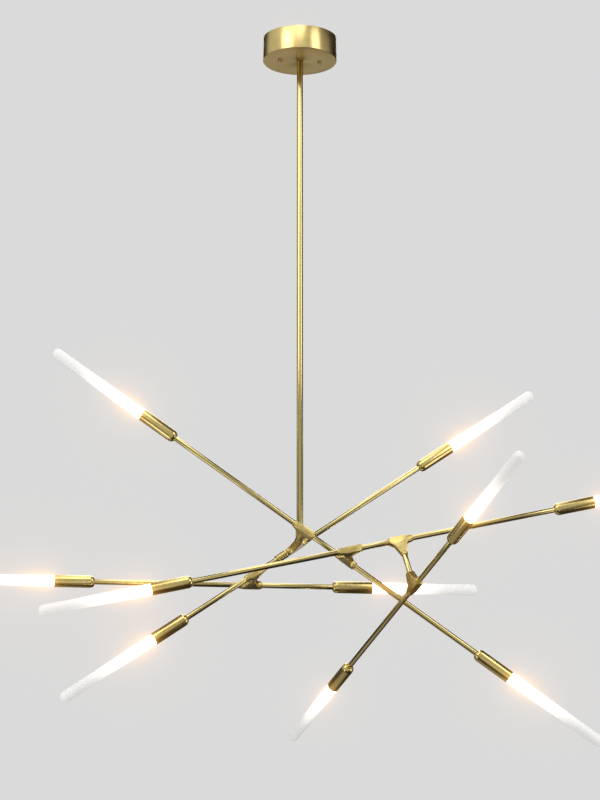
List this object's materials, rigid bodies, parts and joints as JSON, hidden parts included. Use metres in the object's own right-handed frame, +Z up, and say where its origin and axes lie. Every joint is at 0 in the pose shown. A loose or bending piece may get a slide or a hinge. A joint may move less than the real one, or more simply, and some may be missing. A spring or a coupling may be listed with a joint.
{
  "type": "sputnik chandelier",
  "caption": "Ceiling light on a straight stem, with crossing adjustable arms joined by turning tees, and a brass cup with a frosted glass tube at each end of every arm.",
  "frame": {"origin": "centre of the canopy's open rim, in the ceiling plane, on the stem's axis", "axes": "+Z up into the ceiling, +X to the right across the front of the light, +Y away from the front"},
  "size_m": [1.2736, 0.7919, 1.2579],
  "materials": {
    "brushed_brass": "satin brushed",
    "frosted_glass": "frosted, white",
    "zinc_plated_steel": "zinc plated",
    "driver_case": "matte white",
    "light_module_aluminium": "bare turned"
  },
  "bodies": {
    "canopy": {"canopy_cover": "brushed_brass", "ceiling_strap": "zinc_plated_steel", "swivel_bar": "zinc_plated_steel", "strap_screw": "zinc_plated_steel", "canopy_studs": "zinc_plated_steel", "canopy_cap_nuts": "brushed_brass", "led_driver": "driver_case"},
    "stem": {"stem_tube": "brushed_brass", "stem_locknut": "zinc_plated_steel", "hub_coupling": "brushed_brass"},
    "arm1": {"arm1_hub_tee": "brushed_brass", "arm1_outer_tee": "brushed_brass", "arm3_pivot_nipple": "brushed_brass", "arm1_middle_tube": "brushed_brass", "arm1_left_tube": "brushed_brass", "arm1_left_cup": "brushed_brass", "arm1_left_glass": "frosted_glass", "arm1_right_tube": "brushed_brass", "arm1_right_cup": "brushed_brass", "arm1_right_glass": "frosted_glass", "arm1_light_modules": "light_module_aluminium"},
    "arm2": {"arm2_hub_tee": "brushed_brass", "arm2_outer_tee": "brushed_brass", "arm4_pivot_nipple": "brushed_brass", "arm2_lock_collar": "brushed_brass", "arm2_middle_tube": "brushed_brass", "arm2_left_tube": "brushed_brass", "arm2_left_cup": "brushed_brass", "arm2_left_glass": "frosted_glass", "arm2_right_tube": "brushed_brass", "arm2_right_cup": "brushed_brass", "arm2_right_glass": "frosted_glass", "arm2_light_modules": "light_module_aluminium"},
    "arm3": {"arm3_inner_tee": "brushed_brass", "arm3_outer_tee": "brushed_brass", "arm5_pivot_rod": "brushed_brass", "arm3_middle_tube": "brushed_brass", "arm3_left_tube": "brushed_brass", "arm3_left_cup": "brushed_brass", "arm3_left_glass": "frosted_glass", "arm3_right_tube": "brushed_brass", "arm3_right_cup": "brushed_brass", "arm3_right_glass": "frosted_glass", "arm3_light_modules": "light_module_aluminium"},
    "arm4": {"arm4_tee": "brushed_brass", "arm4_left_tube": "brushed_brass", "arm4_left_cup": "brushed_brass", "arm4_left_glass": "frosted_glass", "arm4_right_tube": "brushed_brass", "arm4_right_cup": "brushed_brass", "arm4_right_glass": "frosted_glass", "arm4_light_modules": "light_module_aluminium"},
    "arm5": {"arm5_tee": "brushed_brass", "arm5_left_tube": "brushed_brass", "arm5_left_cup": "brushed_brass", "arm5_left_glass": "frosted_glass", "arm5_right_tube": "brushed_brass", "arm5_right_cup": "brushed_brass", "arm5_right_glass": "frosted_glass", "arm5_light_modules": "light_module_aluminium"}
  },
  "joints": [
    {"name": "stem_swivel", "type": "hinge", "parent": "canopy", "child": "stem", "pos_m": [0, 0, -0.042], "axis": [0, 0, 1], "range_deg": [-170, 170]},
    {"name": "arm1_pivot", "type": "hinge", "parent": "stem", "child": "arm1", "pos_m": [0, 0, -0.905], "axis": [-0.153, 0.9809, -0.12], "range_deg": [-10, 20]},
    {"name": "arm2_pivot", "type": "hinge", "parent": "stem", "child": "arm2", "pos_m": [0, 0, -0.905], "axis": [-0.153, 0.9809, -0.12], "range_deg": [-25, 10]},
    {"name": "arm3_pivot", "type": "hinge", "parent": "arm1", "child": "arm3", "pos_m": [0.07941, -0.06925, -0.94866], "axis": [0.0958, -0.9946, 0.039], "range_deg": [-20, 5]},
    {"name": "arm4_pivot", "type": "hinge", "parent": "arm2", "child": "arm4", "pos_m": [-0.08026, 0.05686, -0.96284], "axis": [-0.161, 0.9809, -0.1087], "range_deg": [-25, 10]},
    {"name": "arm5_pivot", "type": "hinge", "parent": "arm3", "child": "arm5", "pos_m": [0.17653, -0.10413, -0.97022], "axis": [0.2379, -0.2657, -0.9342], "range_deg": [-15, 5]}
  ]
}
